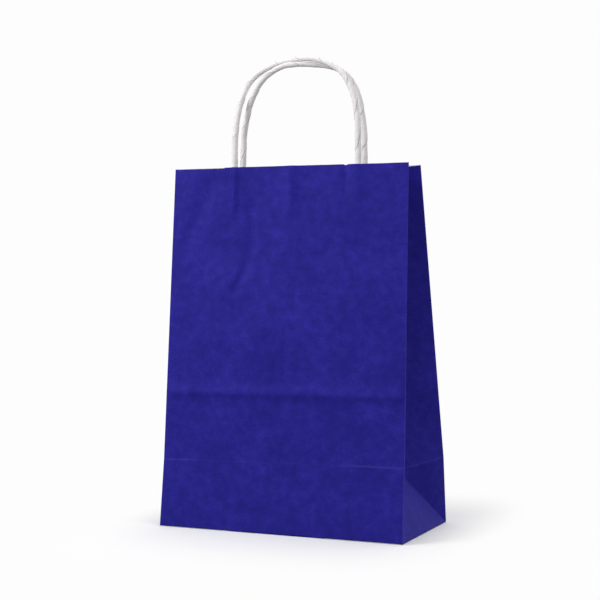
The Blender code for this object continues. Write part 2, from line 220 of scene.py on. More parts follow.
def panel_place(side, across, up):
    """Places on a large panel; across is a share of its width, and up is paper above the base."""
    across, up = np.broadcast_arrays(np.asarray(across, float), np.asarray(up, float))
    at_base = side * BASE_DEPTH / 2
    at_crease = CREASE_SHIFT + side * (BASE_DEPTH - CREASE_TUCK) / 2
    at_mouth = side * MOUTH_GAP / 2
    crease_up = crease_height(side, across)
    crease_z = np.sqrt(crease_up**2 - (at_crease - at_base) ** 2)
    upper = SHEET_HEIGHT - crease_up
    upper_z = np.sqrt(upper**2 - (at_mouth - at_crease) ** 2)
    low = up / crease_up
    high = (up - crease_up) / upper
    y = np.where(low < 1, at_base + (at_crease - at_base) * low, at_crease + (at_mouth - at_crease) * high)
    z = np.where(low < 1, crease_z * low, crease_z + upper_z * high)
    half = PANEL_WIDTH / 2 - SIDE_LEAN_IN * up / SHEET_HEIGHT
    x = (2 * across - 1) * half + MOUTH_SHIFT_X * up / SHEET_HEIGHT
    return np.stack([x, y, z], -1)


def meet_three(centres, radii, near):
    """The point at three distances from three points that lies nearer to a fourth."""
    first, second, third = centres
    ex = (second - first).normalized()
    along = ex.dot(third - first)
    ey = (third - first - ex * along).normalized()
    ez = ex.cross(ey)
    wide = (second - first).length
    high = ey.dot(third - first)
    x = (radii[0] ** 2 - radii[1] ** 2 + wide**2) / (2 * wide)
    y = (radii[0] ** 2 - radii[2] ** 2 + along**2 + high**2 - 2 * along * x) / (2 * high)
    z = math.sqrt(max(radii[0] ** 2 - x**2 - y**2, 0.0))
    level = first + ex * x + ey * y
    meetings = [level + ez * turn * z for turn in (1, -1)]
    return min(meetings, key=lambda meeting: (meeting - near).length)


def gusset_fold(across, steps=48):
    """Paper heights and places of one gusset's centre fold, from the tucked triangle's tip to the mouth."""
    ups = np.linspace(HALF_GUSSET, SHEET_HEIGHT, steps)
    sides = [[Vector(panel_place(side, across, up)) for side in (FRONT, BACK)] for up in ups]
    foot = Vector((panel_place(FRONT, across, 0.0) + panel_place(BACK, across, 0.0)) / 2)
    points = [meet_three([*sides[0], foot], [HALF_GUSSET] * 3, Vector((0, 0, HALF_GUSSET)))]
    rise = ups[1] - ups[0]
    for pair in sides[1:]:
        above = points[-1] + Vector((0, 0, rise))
        points.append(meet_three([*pair, points[-1]], [HALF_GUSSET, HALF_GUSSET, rise], above))
    return ups, np.array(points)


folds = {across: gusset_fold(across) for across in (0.0, 1.0)}
for across, (ups, line) in folds.items():
    inward = abs(line[-1, 0] - panel_place(FRONT, across, SHEET_HEIGHT)[0]) / MM
    print(f"gusset at {across:.0f}: the centre fold is tucked {inward:.1f} mm in at the mouth")

# %% [markdown]
# ## A grid that is fine where the paper bends
# A bend needs faces smaller than its radius, and flat paper doesn't. So the grid's lines are placed by
# walking along the sheet with a step that grows with the distance from the nearest fold, crease or edge.
# Below the crease ring the gusset folds along 45 degree lines. Its rows and columns use one list of
# places there, so that the grid's corners fall exactly on the diagonals.

# %% Rows and columns
FINEST, COARSEST = 0.5 * MM, 2.9 * MM
GROWTH = 0.24  # a step grows by this share of its distance from the nearest bend
LEG_FLANKS = [53.5 * MM, 57.5 * MM]  # bends beside a cord's leg, from the nearer side fold
IMPRINT = BASE_DEPTH  # where the flat bag's folded bottom pressed on the front panel
PRESS_MIDDLE = IMPRINT + 2 * MM
SAME = 1e-6  # places less than a micrometre apart are one place


def graded(start, end, features):
    """Places from start to end, close together near the features."""
    places = [start]
    while places[-1] < end:
        here = places[-1]
        distance = min(abs(here + FINEST - feature) for feature in features)
        places.append(here + min(COARSEST, FINEST + GROWTH * distance))
    stretch = (end - start) / (places[-1] - start)
    return [start + (place - start) * stretch for place in places]


quarter = graded(0.0, HALF_GUSSET / 2, [0.0])
half_steps = quarter + [HALF_GUSSET - place for place in reversed(quarter[:-1])]
gusset_steps = half_steps + [BASE_DEPTH - place for place in reversed(half_steps[:-1])]
panel_half = graded(0.0, PANEL_WIDTH / 2, [0.0, *LEG_FLANKS])
panel_steps = panel_half + [PANEL_WIDTH - place for place in reversed(panel_half[:-1])]
upper_rows = graded(HALF_GUSSET, SHEET_HEIGHT, [HALF_GUSSET, PRESS_MIDDLE, SHEET_HEIGHT])
rows = np.array(half_steps + upper_rows[1:])
walls = [("front", panel_steps), ("right", gusset_steps), ("back", panel_steps), ("left", gusset_steps)]
columns = [(wall, step) for wall, steps in walls for step in steps[:-1]]
print(f"{len(rows)} rows and {len(columns)} columns")

# %% [markdown]
# ## Every grid point in its folded place
# A point on a panel comes straight from the panel's rule. A point on a gusset lies between a side fold and
# the centre fold. Below the ring the gusset has three flat faces: one triangle on the base, whose tip is
# tucked in, and two small ones beside it.

# %% Folded places
def gusset_place(across, from_start, start, end, up):
    """A place on a gusset, from_start along its paper from the start side's fold."""
    ups, line = folds[across]
    from_fold = min(from_start, BASE_DEPTH - from_start)
    near = start if from_start <= HALF_GUSSET else end
    share = from_fold / HALF_GUSSET
    if up >= HALF_GUSSET:
        centre = np.array([np.interp(up, ups, line[:, axis]) for axis in range(3)])
        return panel_place(near, across, up) * (1 - share) + centre * share
    tip = line[0]
    corner = panel_place(near, across, 0.0)
    if from_fold <= up:
        crease = panel_place(near, across, HALF_GUSSET)
        return corner + (up - from_fold) / HALF_GUSSET * (crease - corner) + share * (tip - corner)
    first, last = panel_place(start, across, 0.0), panel_place(end, across, 0.0)
    height = up / HALF_GUSSET
    return first + height * (tip - first) + (from_start - up) / BASE_DEPTH * (last - first)


def folded_grid():
    """Every row and column of the grid, in its folded place."""
    grid = np.zeros((len(rows), len(columns), 3))
    for place, (wall, step) in enumerate(columns):
        if wall == "front":
            grid[:, place] = panel_place(FRONT, step / PANEL_WIDTH, rows)
        elif wall == "back":
            grid[:, place] = panel_place(BACK, 1 - step / PANEL_WIDTH, rows)
        elif wall == "right":
            grid[:, place] = [gusset_place(1.0, step, FRONT, BACK, up) for up in rows]
        else:
            grid[:, place] = [gusset_place(0.0, step, BACK, FRONT, up) for up in rows]
    return grid


grid = folded_grid()
print("mouth of the folded grid:", np.round(grid[-1, 0] / MM, 1), "mm")

# %% [markdown]
# ## Bends that are not folds
# Paper that has been folded flat, packed, opened and handled is never plane. The machine's creases stand
# up as small ridges. The folded bottom pressed a ridge across the front panel. The cord's legs push the
# panel out below the mouth, and hands leave short soft wrinkles. Each of these is a height over the
# sheet, in its flat coordinates, so they are added up and then moved along the sheet's own normals.

# %% Flat coordinates, and helpers for heights
ring = np.array([step for _, step in columns])
wall_of = np.array([wall for wall, _ in columns])
lengths = dict(front=PANEL_WIDTH, right=BASE_DEPTH, back=PANEL_WIDTH, left=BASE_DEPTH)
to_fold = np.array([min(step, lengths[wall] - step) for wall, step in columns])
U, V = np.meshgrid(ring, rows)
FROM_FOLD = np.broadcast_to(to_fold, U.shape)


def smooth(low, high, value):
    """0 below low, 1 above high, and a soft rise between them."""
    share = np.clip((value - low) / (high - low), 0.0, 1.0)
    return share * share * (3 - 2 * share)


def off_folds(width):
    """0 on a side fold, and 1 from so many millimetres beside it."""
    return smooth(0.0, width * MM, FROM_FOLD)


def wrinkle(start, end, width, height):
    """A soft ridge from start to end, given in flat millimetres on a wall, that fades out at its ends."""
    (u0, v0), (u1, v1) = start, end
    along = np.array([u1 - u0, v1 - v0]) * MM
    length = np.hypot(*along)
    along /= length
    du, dv = U - u0 * MM, V - v0 * MM
    share = (du * along[0] + dv * along[1]) / length
    aside = du * along[1] - dv * along[0]
    body = smooth(-0.15, 0.25, share) * (1 - smooth(0.75, 1.15, share))
    return height * MM * body * np.exp(-((aside / (width * MM)) ** 2))


def waves(size, depth, seed):
    """Smooth random heights over the whole sheet, the same on each run."""
    out = np.empty(len(grid.reshape(-1, 3)))
    for place, point in enumerate(grid.reshape(-1, 3)):
        spot = Vector(point) / (size * MM) + Vector((seed * 7.3, seed * 3.1, seed * 5.7))
        out[place] = noise.fractal(spot, 0.7, 2.0, 3)
    return out.reshape(U.shape) * depth * MM


on = {wall: wall_of == wall for wall, _ in walls}
print(f"flat coordinates of {U.size} grid points")

# %% Belly, press and crease
BELLY = 2 * MM  # how far the free middle of a large panel stands out
STIFF_MOUTH = 46 * MM  # the glued patch keeps this strip below the mouth plane
PRESS_FRONT, PRESS_RIGHT = 1.6 * MM, 0.5 * MM  # height of the press on the two walls that have it
PRESS_START, PRESS_RISE, PRESS_END = 0.8 * MM, 2.6 * MM, 3.4 * MM  # how its line lies over the imprint
PRESS_ABOVE, PRESS_BELOW = 6.0 * MM, 4.2 * MM  # how wide it is on either side of its line
RIDGE_HEIGHT, RIDGE_WIDTH = 0.10 * MM, 0.9 * MM

height = np.zeros(U.shape)
belly_top = SHEET_HEIGHT - STIFF_MOUTH
belly = np.sin(np.pi * np.clip((V - HALF_GUSSET) / (belly_top - HALF_GUSSET), 0, 1)) ** 2
for wall in ("front", "back"):
    height[:, on[wall]] += (BELLY * belly * np.sin(np.pi * U / PANEL_WIDTH))[:, on[wall]]

# the press of the folded bottom: a soft ridge above a line, and a narrower fall below it
press_line = IMPRINT + PRESS_START + PRESS_RISE * U / PANEL_WIDTH
press_line[:, on["right"]] = IMPRINT + PRESS_END
above, below = V - press_line, press_line - V
rising, falling = np.exp(-((above / PRESS_ABOVE) ** 2)), np.exp(-((below / PRESS_BELOW) ** 2))
depth = np.where(on["front"], PRESS_FRONT, np.where(on["right"], PRESS_RIGHT, 0.0))
height += depth * np.where(above > 0, rising, falling) * off_folds(4)

# the crease ring, a thin ridge all round
crease = HALF_GUSSET + CREASE_SKEW * np.where(wall_of == "front", ring / PANEL_WIDTH, 0.0)
crease += CREASE_SKEW * np.where(wall_of == "right", np.clip(1 - ring / HALF_GUSSET, 0, 1), 0.0)
height += RIDGE_HEIGHT * np.exp(-(((V - crease) / RIDGE_WIDTH) ** 2)) * off_folds(3)
print(f"the press stands out {depth.max() / MM:.1f} mm")

# %% Marks of the cords' legs and of hands
# each has its start, end, width and height in millimetres, with the start fold and the base at zero
FRONT_MARKS = [
    ((59, 312), (60, 270), 2.9, 2.2),
    ((112, 312), (113, 262), 5.0, 2.4),
    ((163, 312), (163, 284), 3.6, -1.3),
    ((172, 312), (173, 272), 4.5, 1.0),
    ((74, 284), (77, 228), 4.0, -1.7),
    ((77, 232), (61, 199), 3.0, -1.4),
    ((12, 238), (40, 304), 8.0, -2.0),
    ((2, 204), (16, 210), 3.0, 0.6),
    ((1, 176), (12, 172), 3.0, -0.5),
    ((128, 158), (124, 119), 1.8, -0.35),
    ((150, 235), (176, 205), 7.0, 0.6),
    ((95, 180), (70, 140), 8.0, 0.6),
    ((190, 170), (165, 120), 7.0, -0.6),
    ((60, 30), (90, 44), 5.0, 0.3),
    ((150, 18), (182, 40), 5.0, -0.3),
]
BACK_MARKS = [
    ((51, 312), (50, 266), 3.4, 0.80),
    ((165, 312), (166, 266), 3.4, 0.70),
    ((60, 230), (92, 204), 4.0, -0.60),
    ((140, 190), (170, 214), 6.0, 0.45),
    ((40, 120), (80, 150), 7.0, 0.40),
    ((120, 70), (150, 96), 6.0, -0.35),
]
SIDE_MARKS = [
    ((20, 255), (28, 200), 3.0, 0.30),
    ((92, 240), (84, 180), 3.5, 0.40),
    ((30, 150), (18, 105), 3.0, -0.30),
    ((86, 130), (98, 84), 3.0, -0.35),
    ((57, 0), (57, 52), 1.3, -0.22),
    ((38, 4), (50, 40), 3.0, 0.20),
    ((84, 4), (66, 42), 2.4, -0.20),
]
front, back, side = [
    sum(wrinkle(*mark) for mark in table) for table in (FRONT_MARKS, BACK_MARKS, SIDE_MARKS)
]
marks = np.where(on["front"], front, np.where(on["back"], back, side))
height += marks * off_folds(14)
print(f"marks from {marks.min() / MM:.1f} to {marks.max() / MM:.1f} mm")

# %% Waves and the seam
SEAM = 18 * MM  # width of the left gusset's flap that is glued on the back panel
SEAM_CUT = (SEAM - 0.5 * MM, SEAM + 0.3 * MM)  # its cut edge is a short ramp
SEAM_FOLD = (0.2 * MM, 1.5 * MM)  # and so is its start beside the fold

# waves of the whole sheet, and the fine cockle of damp and glue
height += waves(46, 0.75, 1) * off_folds(14)
height += waves(15, 0.11, 2) * off_folds(5)
height *= smooth(0.0, 12 * MM, V)

from_left = PANEL_WIDTH - U
seam = (1 - smooth(*SEAM_CUT, from_left)) * smooth(*SEAM_FOLD, from_left)
height[:, on["back"]] += (PAPER * seam)[:, on["back"]]
print(f"heights from {height.min() / MM:.2f} to {height.max() / MM:.2f} mm")


# %% Move the grid along its normals, and cut its mouth
def grid_normals(points):
    """Unit normals of a grid that closes on itself sideways."""
    sideways = np.roll(points, -1, axis=1) - np.roll(points, 1, axis=1)
    upwards = np.gradient(points, axis=0)
    crossed = np.cross(sideways, upwards)
    return crossed / np.linalg.norm(crossed, axis=-1, keepdims=True)


BASE_PULL, BASE_ROUNDING = 1.4 * MM, 1.6 * MM  # the foot is drawn in this much, over this height
height -= BASE_PULL * np.clip(1 - V / BASE_ROUNDING, 0, 1) ** 2
points = grid + grid_normals(grid) * height[..., None]

LOW_CUT_END, LOW_CUT = 49 * MM, 0.8 * MM  # the front's edge is cut a little lower at the left
NICK_PLACE, NICK_HALF, NICK = 163 * MM, 1.5 * MM, 0.7 * MM  # the nick where two cuts overlapped
TOOTH, TOOTH_STEP = 0.12 * MM, 1.5 * MM  # the fine uneven line of the knife

edge_drop = np.where((ring < LOW_CUT_END) & on["front"], LOW_CUT, 0.0)
edge_drop += np.where((np.abs(ring - NICK_PLACE) < NICK_HALF) & on["front"], NICK, 0.0)
teeth = [noise.noise(Vector((step / TOOTH_STEP, len(wall), 0.5))) for wall, step in columns]
points[-1, :, 2] -= edge_drop + np.abs(TOOTH * np.array(teeth))
print(f"the cut lies up to {edge_drop.max() / MM:.1f} mm low")

# %% Round the folds
FOLD_RADIUS = 1.0 * MM
REACHED = 6  # columns on each side of a fold that its rounding may touch


def round_fold(points, column, only):
    """Turns the sharp bend at a column into a curve that leaves the sheet on both sides of it."""
    count = len(columns)
    shifts = range(-REACHED, REACHED + 1)
    nearby = [(column + shift) % count for shift in shifts]
    offsets = []
    for shift in shifts:
        path = [(column + step) % count for step in range(min(shift, 0), max(shift, 0) + 1)]
        legs = points[0:1, path]
        offsets.append(math.copysign(np.linalg.norm(np.diff(legs, axis=1), axis=-1).sum(), shift))
    offsets = np.array(offsets)
    before = points[only][:, nearby].copy()
    ends = []
    for reach in (-FOLD_RADIUS, FOLD_RADIUS):
        rows_of_ends = [[np.interp(reach, offsets, row[:, axis]) for axis in range(3)] for row in before]
        ends.append(np.stack(rows_of_ends))
    middle = before[:, REACHED]
    for place, offset in zip(nearby, offsets):
        if abs(offset) < FOLD_RADIUS:
            t = (offset + FOLD_RADIUS) / (2 * FOLD_RADIUS)
            points[only, place] = (1 - t) ** 2 * ends[0] + 2 * t * (1 - t) * middle + t**2 * ends[1]


side_folds = [place for place, (_, step) in enumerate(columns) if step == 0.0]
all_rows = np.arange(len(rows))
for column in side_folds:
    round_fold(points, column, all_rows)
centre_folds = []
for place, (wall, step) in enumerate(columns):
    if wall in ("left", "right") and abs(step - HALF_GUSSET) < SAME:
        centre_folds.append(place)
for column in centre_folds:
    round_fold(points, column, all_rows[rows > HALF_GUSSET])
print("side folds at columns", side_folds, "and centre folds at", centre_folds)

# %% [markdown]
# ## The sheet as a mesh
# The grid becomes faces all round, with the flat coordinates as its UV map. On the tucked triangle's sides
# the squares are split along the fold, so the fold stays straight and crisp. Solidify then gives the paper
# its thickness towards the inside, and puts the bare white paper on the inner face and on the cut edge.

# %% Helpers for sheets
def mesh_object(name, vertices, faces, materials):
    """A smooth-shaded object of given faces, with its materials."""
    mesh = bpy.data.meshes.new(name)
    mesh.from_pydata([tuple(vertex) for vertex in vertices], [], faces)
    for one in materials:
        mesh.materials.append(one)
    mesh.shade_smooth()
    return new_object(name, mesh)


def evaluated_mesh(made):
    """The mesh that an object's modifiers make of it."""
    graph = bpy.context.evaluated_depsgraph_get()
    return bpy.data.meshes.new_from_object(made.evaluated_get(graph))


def thicken(made, thickness, offset=-1, inner=0, rim=0):
    """Gives a sheet its thickness; inner and rim say how far on in its materials those faces lie."""
    skin = made.modifiers.new("paper thickness", "SOLIDIFY")
    skin.thickness = thickness
    skin.offset = offset
    skin.use_even_offset = False
    skin.material_offset = inner
    skin.material_offset_rim = rim
    mesh = evaluated_mesh(made)
    made.modifiers.clear()
    made.data = mesh
    mesh.name = made.name
    return made


print("sheets are", round(PAPER / MM, 2), "mm thick")

# %% Faces and flat coordinates of the sheet
CRISP = math.radians(28)  # an edge that bends more than this is shaded as a sharp fold

count = len(columns)
faces = []
for row in range(len(rows) - 1):
    for place, (wall, step) in enumerate(columns):
        after = (place + 1) % count
        low = (row * count + place, row * count + after)
        high = (low[0] + count, low[1] + count)
        tucking = wall in ("left", "right") and rows[row + 1] <= HALF_GUSSET + SAME
        if tucking and abs(step - rows[row]) < SAME:
            faces += [(*low, high[1]), (low[0], high[1], high[0])]
        elif tucking and abs(BASE_DEPTH - step - rows[row + 1]) < SAME:
            faces += [(*low, high[0]), (low[1], high[1], high[0])]
        else:
            faces.append((*low, high[1], high[0]))
sheet = mesh_object("bag_sheet", points.reshape(-1, 3), faces, [blue_kraft, white_kraft])
sheet.data.set_sharp_from_angle(angle=CRISP)

around = np.concatenate([[0.0], np.cumsum([lengths[wall] for wall, _ in walls])])
start_of = {wall: around[place] for place, (wall, _) in enumerate(walls)}
flat_u = np.array([start_of[wall] + step for wall, step in columns])
uv = sheet.data.uv_layers.new(name="paper")
for face in sheet.data.polygons:
    places = [vertex % count for vertex in face.vertices]
    closes = max(places) - min(places) > 1
    for loop, vertex in zip(face.loop_indices, face.vertices):
        at_end = closes and vertex % count == 0
        uv.data[loop].uv = (around[-1] if at_end else flat_u[vertex % count], rows[vertex // count])
print(f"{sheet.name}: {len(faces)} faces before it has its thickness")

# %% Worn ink and painted highlights, and the thickness of the sheet
FOLD_LINE_HALF_WIDTH, CREASE_LINE_HALF_WIDTH = 0.6 * MM, 0.45 * MM  # half widths of the lighter lines
FOLD_SHARE, LOW_FOLD_SHARE = 0.55, 0.35  # painted highlight and worn ink of a side fold, and what its lower half has more
TUCK_HIGHLIGHT = 0.22  # painted highlight on the tucked triangle, which faces up into the light
CREASE_SHARE, MIDDLE_SHARE = 0.5, 0.25  # painted highlight and worn ink of the crease, and what of it the front's middle keeps
LEFT_FADE, RIGHT_FADE = (22 * MM, 34 * MM), (150 * MM, 162 * MM)  # where it changes over to that
SIDE_CREASE = 0.9  # what of it the other walls keep

lower = V < 0.55 * SHEET_HEIGHT
# side folds: a thin lighter line, partly worn ink and partly a painted highlight along the fold
wear_and_highlight = np.exp(-((FROM_FOLD / FOLD_LINE_HALF_WIDTH) ** 2)) * (FOLD_SHARE + LOW_FOLD_SHARE * lower)
tucked = (on["left"] | on["right"]) & (V < np.minimum(U, BASE_DEPTH - U) - 0.1 * MM)
# the tucked triangle, which faces up into the light, painted lighter: a painted highlight
wear_and_highlight = np.maximum(wear_and_highlight, np.where(tucked, TUCK_HIGHLIGHT, 0))
# the crease: a thin lighter line, partly worn ink and partly a painted highlight, stronger at the front's
# ends
at_ends = np.maximum(1 - smooth(*LEFT_FADE, U), smooth(*RIGHT_FADE, U))
crease_highlight_and_wear = MIDDLE_SHARE + (1 - MIDDLE_SHARE) * at_ends
crease_highlight_and_wear = np.where(on["front"], crease_highlight_and_wear, SIDE_CREASE)
wear_and_highlight = np.maximum(wear_and_highlight, CREASE_SHARE * crease_highlight_and_wear * np.exp(-(((V - crease) / CREASE_LINE_HALF_WIDTH) ** 2)))
attribute = sheet.data.attributes.new("wear_and_highlight", "FLOAT", "POINT")
attribute.data.foreach_set("value", wear_and_highlight.reshape(-1).astype(np.float32))
thicken(sheet, PAPER, inner=1, rim=1)
for face in sheet.data.polygons:
    if face.center.z < 1 * MM and face.normal.z < -0.5:
        face.material_index = 0  # the sheet goes on into the flaps here, so no cut edge shows
print(f"{sheet.name}: {len(sheet.data.polygons)} faces")

# %% [markdown]
# ## The block bottom
# Under the walls the paper turns in as four flaps. The two short ones come from the gussets and lie
# innermost. The two long ones are folded at 45 degrees at their corners, so they narrow towards the middle,
# where the back one is glued over the front one. Each flap is a thin sheet of its own here, because that
# is how the layers are seen: as cut and folded edges, one paper apart.

# %% Flaps of the base
LAP = 10 * MM  # each long flap reaches this far past the middle
REACH = BASE_DEPTH / 2 + LAP
FLAP_PAPER = 0.95 * PAPER  # so that layers one paper apart don't touch
FLAP_INSET = 0.3 * MM
RIPPLE, RIPPLE_SIZE = 0.05 * MM, 14 * MM


def flap(name, outline, level, cuts=26):
    """A sheet over a four-cornered outline, at a height that level gives for each place."""
    first, second, third, fourth = [np.array(corner) for corner in outline]
    vertices = []
    for i in range(cuts + 1):
        low = first + (second - first) * i / cuts
        high = fourth + (third - fourth) * i / cuts
        for j in range(cuts + 1):
            x, y = low + (high - low) * j / cuts
            ripple = RIPPLE * noise.noise(Vector((x, y, 0.3)) / RIPPLE_SIZE)
            vertices.append((x, y, level(x, y) + max(ripple, 0)))
    side = cuts + 1
    faces = [
        (i * side + j, (i + 1) * side + j, (i + 1) * side + j + 1, i * side + j + 1)
        for i in range(cuts)
        for j in range(cuts)
    ]
    made = mesh_object(name, vertices, faces, [white_kraft, blue_kraft])
    uv = made.data.uv_layers.new(name="paper")
    for loop in made.data.loops:
        x, y, _ = made.data.vertices[loop.vertex_index].co
        uv.data[loop.index].uv = (x, y)
    return thicken(made, FLAP_PAPER, inner=1, rim=0)


half_w, half_d = PANEL_WIDTH / 2 - FLAP_INSET, BASE_DEPTH / 2 - FLAP_INSET
tip_w = half_w - REACH


def back_level(x, y):
    """One paper up."""
    return PAPER


def front_level(x, y):
    """One paper up, and a second one where this flap climbs over the back one's edge."""
    return PAPER * (1.0 + 1.05 * float(smooth(-LAP - 2 * MM, -LAP + 1 * MM, y)))


def side_level(x, y):
    """Over the folded corners of the long flaps, and one paper lower where those end."""
    free = float(smooth(0.0, 4 * MM, abs(x) - half_w + half_d - abs(y)))
    return PAPER * (3.1 - 1.0 * free)


outlines = {
    "back": [(-half_w, half_d), (-tip_w, -LAP), (tip_w, -LAP), (half_w, half_d)],
    "front": [(half_w, -half_d), (tip_w, LAP), (-tip_w, LAP), (-half_w, -half_d)],
    "left": [(-half_w, -half_d), (-tip_w, -half_d), (-tip_w, half_d), (-half_w, half_d)],
    "right": [(half_w, half_d), (tip_w, half_d), (tip_w, -half_d), (half_w, -half_d)],
}
levels = dict(back=back_level, front=front_level, left=side_level, right=side_level)
flaps = [flap(f"bottom_flap_{end}", outline, levels[end]) for end, outline in outlines.items()]
print("flaps:", [made.name for made in flaps])

# %% [markdown]
# ## Twisted paper cord
# Each handle is a strip of white paper, about 60 mm wide, twisted tightly into a round cord. What shows is
# a smooth but slightly lumpy rope with one edge of the strip winding up it like a screw thread. In Geometry
# Nodes that is a profile swept along the route: a circle whose radius drops by one step where the strip's
# edge lies, and a tilt that grows with the length, so the step becomes a helix.

# %% Material of the cord
PLEATS = (14.0, 60.0, 1.0)  # pleats in one turn round the cord, and in a metre along it
LAP_SHADOW = 0.07  # the shadow under the strip's edge, as a share of a turn

cord_paper, tree, shader = start_material(
    "twisted bleached paper", **{"Roughness": 0.72, "IOR": 1.45, "Specular IOR Level": 0.3}
)
along = add_node(tree, "ShaderNodeAttribute", {"attribute_name": "along"}).outputs["Fac"]
around_cord = add_node(tree, "ShaderNodeAttribute", {"attribute_name": "around"}).outputs["Fac"]
strip = add_node(tree, "ShaderNodeCombineXYZ", inputs={"X": around_cord, "Y": along})
stretched = add_node(tree, "ShaderNodeMapping", inputs={"Vector": strip, "Scale": PLEATS})
pleats = add_node(
    tree, "ShaderNodeTexNoise", inputs={"Vector": stretched, "Scale": 1.0, "Detail": 3.0, "Roughness": 0.6}
)
lap_shade = add_node(
    tree,
    "ShaderNodeMapRange",
    {"interpolation_type": "SMOOTHSTEP"},
    {"Value": around_cord, "From Min": 0.0, "From Max": LAP_SHADOW, "To Min": 0.75, "To Max": 0.0},
)
cord_colour = add_node(tree, "ShaderNodeValToRGB", inputs={"Fac": pleats})
colour_steps(cord_colour, [(0.25, "#DDD8D9"), (0.65, "#F4F1F2")])
lapped = add_node(
    tree, "ShaderNodeMix", {"data_type": "RGBA"}, {"Factor": lap_shade, 6: cord_colour, 7: srgb("#9C9496")}
)
pleat_bump = add_node(
    tree, "ShaderNodeBump", inputs={"Strength": 0.4, "Distance": 0.35 * MM, "Height": pleats}
)
feed(tree, shader, {"Base Color": lapped.outputs[2], "Normal": pleat_bump})
print("cord:", cord_paper.name)

# %% Geometry Nodes for a twisted strip
CORD_DIAMETER = 5.3 * MM
TWIST = 27 * MM  # length of cord in which the strip winds round once
LAP_STEP = 0.13  # the strip's edge, as a share of the radius
PROFILE_POINTS = 26
DRIFT, DRIFT_SCALE = 0.9, 40.0  # turns by which the twist is uneven, and its changes in a metre
LUMP, LUMP_SCALE = 0.06, 90.0  # share by which the radius is uneven, and its changes in a metre


def twisted_cord_tree():
    """A profile with one step in its radius, swept along a curve that turns it as it goes."""
    tree = bpy.data.node_groups.new("twisted paper strip", "GeometryNodeTree")
    face = tree.interface
    face.new_socket("Geometry", in_out="INPUT", socket_type="NodeSocketGeometry")
    for name in ("Radius", "Turn", "Step", "Spacing"):
        face.new_socket(name, in_out="INPUT", socket_type="NodeSocketFloat")
    face.new_socket("Paper", in_out="INPUT", socket_type="NodeSocketMaterial")
    face.new_socket("Geometry", in_out="OUTPUT", socket_type="NodeSocketGeometry")
    given = add_node(tree, "NodeGroupInput").outputs
    sampled = {"Curve": given["Geometry"], "Length": given["Spacing"]}
    even = add_node(tree, "GeometryNodeResampleCurve", {"mode": "LENGTH"}, sampled)
    spot = add_node(tree, "GeometryNodeSplineParameter").outputs
    turns = add_node(tree, "ShaderNodeMath", {"operation": "DIVIDE"}, {0: spot["Length"], 1: given["Turn"]})
    slow_noise = {"W": spot["Length"], "Scale": DRIFT_SCALE, "Detail": 1.0}
    uneven = add_node(tree, "ShaderNodeTexNoise", {"noise_dimensions": "1D"}, slow_noise)
    drift = add_node(tree, "ShaderNodeMath", {"operation": "MULTIPLY_ADD"}, {0: uneven, 1: DRIFT, 2: turns})
    angle = add_node(tree, "ShaderNodeMath", {"operation": "MULTIPLY"}, {0: drift, 1: math.tau})
    tilted = add_node(tree, "GeometryNodeSetCurveTilt", inputs={"Curve": even, "Tilt": angle})
    marked = add_node(
        tree,
        "GeometryNodeStoreNamedAttribute",
        {"data_type": "FLOAT", "domain": "POINT"},
        {"Geometry": tilted, "Name": "along", "Value": spot["Length"]},
    )
    round_one = {"Resolution": PROFILE_POINTS, "Radius": 1.0}
    circle = add_node(tree, "GeometryNodeCurvePrimitiveCircle", inputs=round_one)
    turn_share = add_node(tree, "GeometryNodeSplineParameter")
    drop = add_node(tree, "ShaderNodeMath", {"operation": "MULTIPLY"}, {0: turn_share, 1: given["Step"]})
    keep = add_node(tree, "ShaderNodeMath", {"operation": "SUBTRACT"}, {0: 1.0, 1: drop})
    here = add_node(tree, "GeometryNodeInputPosition")
    pulled = add_node(tree, "ShaderNodeVectorMath", {"operation": "SCALE"}, {"Vector": here, "Scale": keep})
    rolled = add_node(tree, "GeometryNodeSetPosition", inputs={"Geometry": circle, "Position": pulled})
    profile = add_node(
        tree,
        "GeometryNodeStoreNamedAttribute",
        {"data_type": "FLOAT", "domain": "POINT"},
        {"Geometry": rolled, "Name": "around", "Value": turn_share},
    )
    own = add_node(tree, "GeometryNodeInputRadius")
    quick_noise = {"W": spot["Length"], "Scale": LUMP_SCALE, "Detail": 2.0}
    lumps = add_node(tree, "ShaderNodeTexNoise", {"noise_dimensions": "1D"}, quick_noise)
    spread = {"From Min": 0.2, "From Max": 0.8, "To Min": 1 - LUMP, "To Max": 1 + LUMP}
    lumpy = add_node(tree, "ShaderNodeMapRange", inputs={"Value": lumps, **spread})
    size = add_node(tree, "ShaderNodeMath", {"operation": "MULTIPLY"}, {0: own, 1: given["Radius"]})
    size = add_node(tree, "ShaderNodeMath", {"operation": "MULTIPLY"}, {0: size, 1: lumpy})
    swept = add_node(
        tree,
        "GeometryNodeCurveToMesh",
        inputs={
            "Curve": marked,
            "Profile Curve": profile,
            "Scale": size,
            "Fill Caps": True,
        },
    )
    soft = add_node(tree, "GeometryNodeSetShadeSmooth", inputs={"Geometry": swept})
    real = add_node(tree, "GeometryNodeRealizeInstances", inputs={"Geometry": soft})
    papered = {"Geometry": real, "Material": given["Paper"]}
    dressed = add_node(tree, "GeometryNodeSetMaterial", inputs=papered)
    add_node(tree, "NodeGroupOutput", inputs={"Geometry": dressed})
    return tree


cord_tree = twisted_cord_tree()
print("nodes in the cord's tree:", len(cord_tree.nodes))

# %% [markdown]
# ## The way of the two cords
# The cords are glued in as even arches, and bend as they are pulled up. In the photo the front cord passes
# behind the rear one at the left shoulder, over it at the crown and in front of it at the right shoulder.
# The route is a list of points: across in half spacings, over as a share of the way to the
# other cord, and up as a share of the rise.

